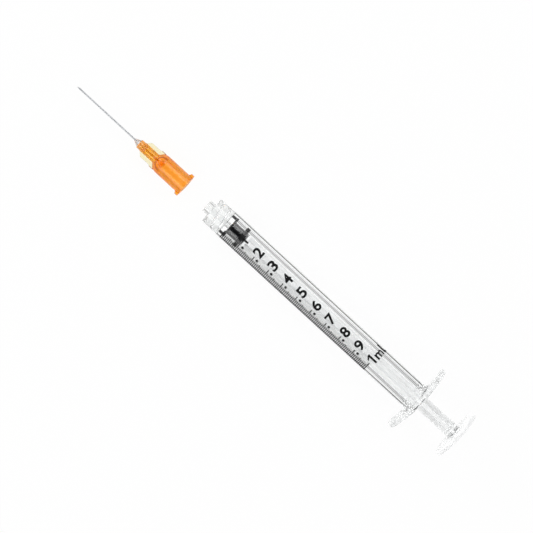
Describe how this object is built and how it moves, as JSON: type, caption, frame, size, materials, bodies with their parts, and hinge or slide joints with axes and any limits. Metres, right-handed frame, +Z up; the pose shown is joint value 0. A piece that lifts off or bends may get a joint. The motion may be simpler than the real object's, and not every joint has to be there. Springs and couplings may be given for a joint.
{
  "type": "syringe with needle",
  "caption": "Slim graduated syringe with a sliding plunger, winged finger flange and locking collar, with a thin hypodermic needle in a finned hub lying off its end.",
  "frame": {"origin": "on the surface that the syringe lies on, under the centre of the whole object's box", "axes": "+X towards the needle's point, +Z up; the syringe's axis points 2.2 degrees below +X"},
  "size_m": [0.1534, 0.023, 0.0162],
  "materials": {
    "clear_polypropylene": "clear, moulded smooth, with black printed graduations",
    "black_rubber": "smooth, satin",
    "white_polypropylene": "translucent natural white, satin",
    "orange_polypropylene": "translucent orange, gloss",
    "stainless_steel": "drawn and polished",
    "clear_epoxy": "clear, gloss"
  },
  "bodies": {
    "barrel": {"barrel": "clear_polypropylene"},
    "stopper": {"stopper": "black_rubber"},
    "plunger": {"plunger_rod": "white_polypropylene"},
    "needle": {"needle_hub": "orange_polypropylene", "needle_cannula": "stainless_steel", "hub_adhesive": "clear_epoxy"}
  },
  "joints": [
    {"name": "plunger_slide", "type": "slide", "parent": "barrel", "child": "stopper", "axis": [-0.9992, 0, 0.0388], "range_m": [0, 0.06714]},
    {"name": "plunger_spin", "type": "hinge", "parent": "stopper", "child": "plunger", "pos_m": [0.00924, 0, 0.0048], "axis": [-0.9992, 0, 0.0388], "continuous": true},
    {"name": "needle_slide", "type": "slide", "parent": "barrel", "child": "needle", "axis": [0.9992, 0, -0.0388], "range_m": [-0.0134, 0]}
  ]
}
